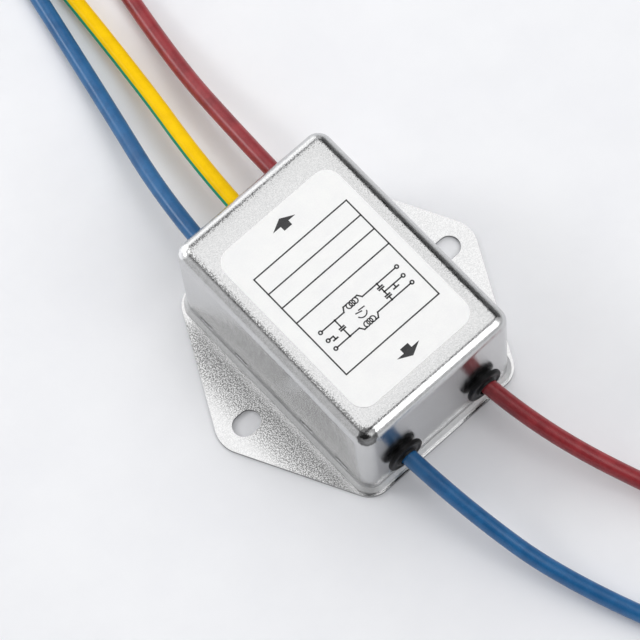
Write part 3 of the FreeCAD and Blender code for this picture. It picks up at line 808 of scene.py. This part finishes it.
def turn_bushing(name, x, side):
    """The outline spun round the lead's axis, on the wall at side 1 or -1."""
    mesh = bmesh.new()
    rings = []
    for step in range(BUSHING_STEPS):
        angle = 2 * math.pi * step / BUSHING_STEPS
        rings.append([mesh.verts.new((x + radius * MM * math.cos(angle),
                                      side * (half_length + out * MM),
                                      LEVEL + radius * MM * math.sin(angle)))
                      for radius, out in BUSHING_OUTLINE])
    count = len(BUSHING_OUTLINE)
    for step in range(BUSHING_STEPS):
        near, far = rings[step], rings[(step + 1) % BUSHING_STEPS]
        for corner in range(count):
            after = (corner + 1) % count
            mesh.faces.new((near[corner], near[after], far[after], far[corner]))
    bmesh.ops.recalc_face_normals(mesh, faces=mesh.faces)
    data = bpy.data.meshes.new(name + "_turned")
    mesh.to_mesh(data)
    mesh.free()
    data.shade_smooth()
    data.set_sharp_from_angle(angle=BUSHING_CREASE)
    data.materials.append(finishes["bushing_plastic"])
    piece = bpy.data.objects.new(name + "_turned", data)
    scene.collection.objects.link(piece)
    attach(piece, "root")
    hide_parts(name)
    return piece


for name, points in LEAD_POINTS.items():
    bushing = turn_bushing(name + "_bushing", points[0][0], 1 if points[0][1] > 0 else -1)
    print(bushing.name, len(bushing.data.polygons), "faces")

# %% [markdown]
# The label is a white film with print on it. The print could be a pattern in the
# film's finish, but thin lines in a pattern get steps when seen from close up. Ink
# has hardly any thickness, and as a thin solid it keeps its edges sharp from every
# side. Each line is a flat bar, each bend a ring segment, each dot a disc, and all
# are drawn in millimetres on the label.

# %% Tools for the print
INK = 0.02
INK_BITE = 0.01
LABEL_TOP = label_high.z / MM
PEN = 0.3
FINE_PEN = 0.26
BOLD_PEN = 0.34
RING_STEP = 15
DOT_SIDES = 20
ink = bmesh.new()


def add_outline(points):
    """A thin solid whose outline is a list of points in millimetres, anticlockwise."""
    low = [ink.verts.new((x * MM, y * MM, (LABEL_TOP - INK_BITE) * MM)) for x, y in points]
    high = [ink.verts.new((x * MM, y * MM, (LABEL_TOP + INK) * MM)) for x, y in points]
    ink.faces.new(high)
    ink.faces.new(list(reversed(low)))
    for step in range(len(points)):
        after = (step + 1) % len(points)
        ink.faces.new((low[step], low[after], high[after], high[step]))


def add_line(points, width=PEN):
    """Bars between points, each a little longer than its gap so that corners close."""
    for (x1, y1), (x2, y2) in zip(points, points[1:]):
        along = Vector((x2 - x1, y2 - y1)).normalized() * width / 2
        across = Vector((-along.y, along.x))
        start, end = Vector((x1, y1)) - along, Vector((x2, y2)) + along
        add_outline([start - across, end - across, end + across, start + across])


def add_ring(x, y, radius, start=0.0, end=360.0, width=PEN):
    """A ring or part of one, from one heading to another in degrees."""
    steps = int((end - start) / RING_STEP)
    inner, outer = radius - width / 2, radius + width / 2
    for step in range(steps):
        first, last = [math.radians(start + (end - start) * (step + more) / steps) for more in (0, 1)]
        add_outline([(x + reach * math.cos(heading), y + reach * math.sin(heading))
                     for reach, heading in ((inner, first), (outer, first), (outer, last), (inner, last))])


def add_dot(x, y, radius):
    """A round, filled dot."""
    turns = [2 * math.pi * step / DOT_SIDES for step in range(DOT_SIDES)]
    add_outline([(x + radius * math.cos(turn), y + radius * math.sin(turn)) for turn in turns])


print("pens ready, ink", INK, "mm thick")

# %% [markdown]
# A frame with three ruled rows takes up the middle of the label, and an arrow at
# each end points the way that the leads run. The second arrow could be a turned
# copy. Here the same outline is drawn again with its signs changed.

# %% Print the frame and the arrows
FRAME_LEFT, FRAME_RIGHT, FRAME_TOP, FRAME_BOTTOM = -11.8, 12.4, 12.1, -14.5
ROWS = [7.9, 4.0, -0.2]
ARROW = [(-2.9, -0.2), (-0.9, -0.2), (-0.9, -1.3), (1.1, -1.3), (1.1, -0.2), (2.9, -0.2), (0.0, 1.3)]
ARROW_X = 0.25
ARROW_PLACES = ((16.9, 1), (-19.1, -1))

add_line([(FRAME_LEFT, FRAME_TOP), (FRAME_RIGHT, FRAME_TOP), (FRAME_RIGHT, FRAME_BOTTOM),
          (FRAME_LEFT, FRAME_BOTTOM), (FRAME_LEFT, FRAME_TOP)])
for row in ROWS:
    add_line([(FRAME_LEFT, row), (FRAME_RIGHT, row)])
for middle_y, way in ARROW_PLACES:
    add_outline([(way * x + ARROW_X, middle_y + way * y) for x, y in ARROW])
print("frame", round(FRAME_RIGHT - FRAME_LEFT, 1), "by", round(FRAME_TOP - FRAME_BOTTOM, 1), "mm")

# %% [markdown]
# Under the rows the label shows how the filter is wired: two lines run from end to
# end through the two coils of the choke, one capacitor bridges them, two more in a
# row tie both to earth, and open rings stand for the terminals. The diagram could
# be one long list of strokes. As a coil, a capacitor and an earth sign each come
# more than once, each of them is a short function.

# %% Print the wiring diagram
UPPER, LOWER = -4.8, -9.2
MIDDLE = (UPPER + LOWER) / 2
LINE_START, LINE_END = -9.4, 9.9
COIL_START, COIL_END = -3.6, 1.2
BRIDGE_X, TO_EARTH_X = -6.0, 5.0
TO_EARTH_STEP = 1.1
GAP = 0.3
PLATE_HALF, PLATE_OFF = 0.55, 0.22
LOOPS = (-1.9, -1.15, -0.4)
RIGHT_SIGN_X, LEFT_SIGN_X = 7.3, -8.4
SIGN_GAP = 0.15


def add_coil(y, way):
    """Three loops between two raised ends, on a line at y, rising up or down."""
    raised = y + way * 0.9
    add_line([(COIL_START, y), (COIL_START + 0.6, raised), (COIL_START + 1.3, raised)])
    add_line([(COIL_END, y), (COIL_END - 0.6, raised), (COIL_END - 1.2, raised)])
    for loop in LOOPS:
        add_ring(loop, y + way * 0.35, 0.6, width=FINE_PEN)


def add_capacitor(x, y):
    """Two short plates across a line that runs up and down."""
    for plate_y in (y + PLATE_OFF, y - PLATE_OFF):
        add_line([(x - PLATE_HALF, plate_y), (x + PLATE_HALF, plate_y)], BOLD_PEN)


def add_earth_sign(x, drop, half):
    """A short line down from the middle level to a bar."""
    bar_y = MIDDLE - drop - SIGN_GAP
    add_line([(x, MIDDLE), (x, MIDDLE - drop)])
    add_line([(x - half, bar_y), (x + half, bar_y)], BOLD_PEN)


for line_y, way in ((UPPER, 1), (LOWER, -1)):
    add_line([(LINE_START, line_y), (COIL_START, line_y)])
    add_line([(COIL_END, line_y), (LINE_END, line_y)])
    add_coil(line_y, way)
    add_line([(BRIDGE_X, line_y), (BRIDGE_X, MIDDLE + way * GAP)])
    add_line([(TO_EARTH_X, line_y), (TO_EARTH_X, MIDDLE + way * (TO_EARTH_STEP + GAP))])
    add_capacitor(TO_EARTH_X, MIDDLE + way * TO_EARTH_STEP)
add_capacitor(BRIDGE_X, MIDDLE)
add_line([(TO_EARTH_X, MIDDLE + TO_EARTH_STEP - GAP), (TO_EARTH_X, MIDDLE - TO_EARTH_STEP + GAP)])
add_line([(TO_EARTH_X, MIDDLE), (LINE_END - 0.3, MIDDLE)])
add_line([(LINE_START, MIDDLE), (LEFT_SIGN_X, MIDDLE)])
add_earth_sign(RIGHT_SIGN_X, 0.7, 0.6)
add_earth_sign(LEFT_SIGN_X, 0.6, 0.5)
add_ring(LOOPS[1], MIDDLE, 1.15, 200, 340, width=FINE_PEN)
add_line([(-2.1, -6.6), (-0.9, -6.9)], FINE_PEN)
add_line([(-1.2, -6.4), (0.1, -6.5)], FINE_PEN)
for x, y in ((-9.7, UPPER), (-9.7, MIDDLE), (-9.7, LOWER), (10.2, UPPER), (9.9, MIDDLE), (10.2, LOWER)):
    add_ring(x, y, 0.36)
for x, y in ((BRIDGE_X, UPPER), (BRIDGE_X, LOWER), (TO_EARTH_X, UPPER), (TO_EARTH_X, LOWER),
             (TO_EARTH_X, MIDDLE)):
    add_dot(x, y, 0.24)

print_data = bpy.data.meshes.new("label_print")
ink.to_mesh(print_data)
ink.free()
print_data.materials.append(finishes["label_ink"])
label_print = bpy.data.objects.new("label_print", print_data)
scene.collection.objects.link(label_print)
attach(label_print, "root")
print("label print", len(print_data.polygons), "faces")

# %% [markdown]
# The part lies on pale paper. A plane without a finish would do, but paper is never
# quite even, so a faint cloud tints it and bends its surface a little. It lies a
# hair under the plate, because two faces in one plane would flicker.

# %% Lay the paper
PAPER_HALF = 3.0
PAPER_Z = -0.00002


def stage_mesh(name, corners, finish):
    """A flat four sided piece of the stage, which is no part of the filter."""
    mesh = bpy.data.meshes.new(name)
    mesh.from_pydata(corners, [], [(0, 1, 2, 3)])
    mesh.materials.append(finish)
    piece = bpy.data.objects.new(name, mesh)
    scene.collection.objects.link(piece)
    return piece


def make_paper():
    """Pale paper with a faint cloud in its tint and its surface."""
    finish = Finish("floor_paper", Roughness=0.85, Specular_IOR_Level=0.15)
    cloud = finish.noise(0.03, 4.0, 0.6)
    colour = finish.mix(cloud.over(0.3, 0.7), (0.855, 0.860, 0.885, 1), (0.885, 0.890, 0.910, 1))
    return finish.use(Base_Color=colour, Normal=finish.bump(cloud, 0.0006))


stage_mesh("floor", [(x * PAPER_HALF, y * PAPER_HALF, PAPER_Z)
                     for x, y in ((-1, -1), (1, -1), (1, 1), (-1, 1))], make_paper())
print("paper", 2 * PAPER_HALF, "m wide")

# %% [markdown]
# Bright metal shows its surroundings, so the studio matters as much as the finish.
# A plain white dome would light the part but leave the tin flat and grey. Here a
# softbox hangs over the can, towards the rear right, where the flat top mirrors it.
# Another stands in front and draws the bright line along the front edge. A panel
# behind the part brightens its back edge, and a small strong lamp at the rear left
# casts the soft shadow to the right. A side fill lights the paper and the plastics
# and stays out of the reflections.

# %% Hang the lamps
HANG = 1.2
KEY_X, KEY_Y = 0.128 * HANG, 0.31 * HANG


def add_lamp(name, place, size, radiance, aim=(0.0, 0.0, 0.0), mirrored=True):
    """A softbox of a width and depth at a place in metres, turned to face a point."""
    data = bpy.data.lights.new(name, "AREA")
    data.shape = "RECTANGLE"
    data.size, data.size_y = size
    data.energy = radiance * math.pi * size[0] * size[1]
    lamp = bpy.data.objects.new(name, data)
    away = Vector(place) - Vector(aim)
    turned = away.to_track_quat("Z", "Y").to_matrix().to_4x4()
    lamp.matrix_world = Matrix.Translation(place) @ turned
    lamp.visible_glossy = mirrored
    scene.collection.objects.link(lamp)
    return lamp


lamps = [
    add_lamp("key", place=(KEY_X, KEY_Y, HANG), size=(0.805 * HANG, 0.68 * HANG), radiance=1.3,
             aim=(KEY_X, KEY_Y, 0.0)),
    add_lamp("front", place=(0.26, -0.72, 0.93), size=(0.62, 0.96), radiance=1.9),
    add_lamp("side_fill", place=(0.55, 0.45, 1.1), size=(1.6, 1.6), radiance=1.0, mirrored=False),
    add_lamp("back_panel", place=(0.0, 1.35, 0.55), size=(1.6, 1.0), radiance=1.0),
    add_lamp("back_spot", place=(-0.70, 0.80, 0.72), size=(0.34, 0.34), radiance=8.0),
]
print("lit by", len(lamps), "lamps")

# %% [markdown]
# Dark cards frame the softbox and stand at the right and near the camera, as a
# product photographer sets round metal: without them the rounded edges would mirror
# white everywhere and lose their shape. The camera doesn't see the cards. A pale
# backdrop fills what is left, and the Standard view keeps the colours as they are.

# %% Set the dark cards and the backdrop
CARD_RIGHT_X = 1.25
CARD_REAR_Y = 0.90
CARD_ABOVE_Z = HANG + 0.01
CARD_CAMERA_Z = 0.9
BACKDROP = (0.985, 0.99, 1.0, 1)
BACKDROP_STRENGTH = 0.67


def add_card(name, corners, shade=0.05):
    """A dark felt card that only reflections and shadows see."""
    finish = Finish(name + "_felt", Roughness=0.95, Specular_IOR_Level=0.0)
    nap = finish.noise(0.01, 2.0, 0.5)
    felt = finish.use(Base_Color=finish.mix(nap, grey(shade), grey(shade * 1.5)))
    card = stage_mesh(name, corners, felt)
    card.visible_camera = False
    return card


def level_card(left, front, right, rear, z):
    """The corners of a card that lies level."""
    return [(left, front, z), (right, front, z), (right, rear, z), (left, rear, z)]


add_card("card_above", level_card(-0.50, -0.22, CARD_RIGHT_X, CARD_REAR_Y, CARD_ABOVE_Z))
add_card("card_camera", level_card(-1.8, -1.8, -0.08, -0.1, CARD_CAMERA_Z))
add_card("card_right", [(CARD_RIGHT_X, -0.5, 0.4), (CARD_RIGHT_X, CARD_REAR_Y, 0.4),
                        (CARD_RIGHT_X, CARD_REAR_Y, HANG), (CARD_RIGHT_X, -0.5, HANG)], shade=0.12)

world = bpy.data.worlds.new("studio")
world.use_nodes = True
backdrop = world.node_tree.nodes["Background"]
backdrop.inputs["Color"].default_value = BACKDROP
backdrop.inputs["Strength"].default_value = BACKDROP_STRENGTH
scene.world = world
scene.view_settings.view_transform = "Standard"
print("backdrop strength", BACKDROP_STRENGTH)
